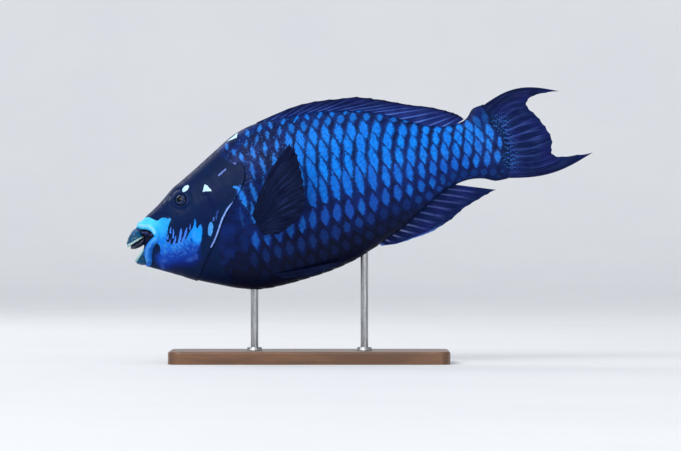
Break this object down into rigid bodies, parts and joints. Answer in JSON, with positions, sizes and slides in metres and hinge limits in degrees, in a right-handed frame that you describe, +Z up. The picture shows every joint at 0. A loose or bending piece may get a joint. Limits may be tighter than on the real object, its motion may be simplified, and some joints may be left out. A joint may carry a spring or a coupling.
{
  "type": "parrotfish",
  "caption": "Life-size midnight parrotfish display model, swimming nose down, with a fused beak, large scales and spread fins, held over a flat base by short rods.",
  "frame": {"origin": "on the floor under the middle of the whole model's box, where the base rests", "axes": "+X towards the tail, +Z up, the fish's left side faces -Y"},
  "size_m": [0.5499, 0.167, 0.3257],
  "materials": {
    "skin": "painted fish skin, satin, azure scales netted in near-black navy",
    "beak": "smooth greenish-teal tooth plate with a pale cutting edge",
    "eye": "glossy near-black",
    "fin": "dark blue-violet fin skin, satin, over ridged rays",
    "base": "satin oiled wood",
    "rod": "satin"
  },
  "bodies": {
    "root": {"head": "skin", "trunk": "skin", "tail_stem": "skin", "beak_upper": "beak", "beak_lower": "beak", "eye_left": "eye", "eye_right": "eye", "dorsal_fin": "fin", "anal_fin": "fin", "tail_fin_upper": "fin", "tail_fin_middle": "fin", "tail_fin_lower": "fin", "pectoral_fin_left": "fin", "pectoral_fin_right": "fin", "pelvic_fin_left": "fin", "pelvic_fin_right": "fin", "stand_base": "base", "stand_rod_front": "rod", "stand_rod_rear": "rod"}
  },
  "joints": []
}
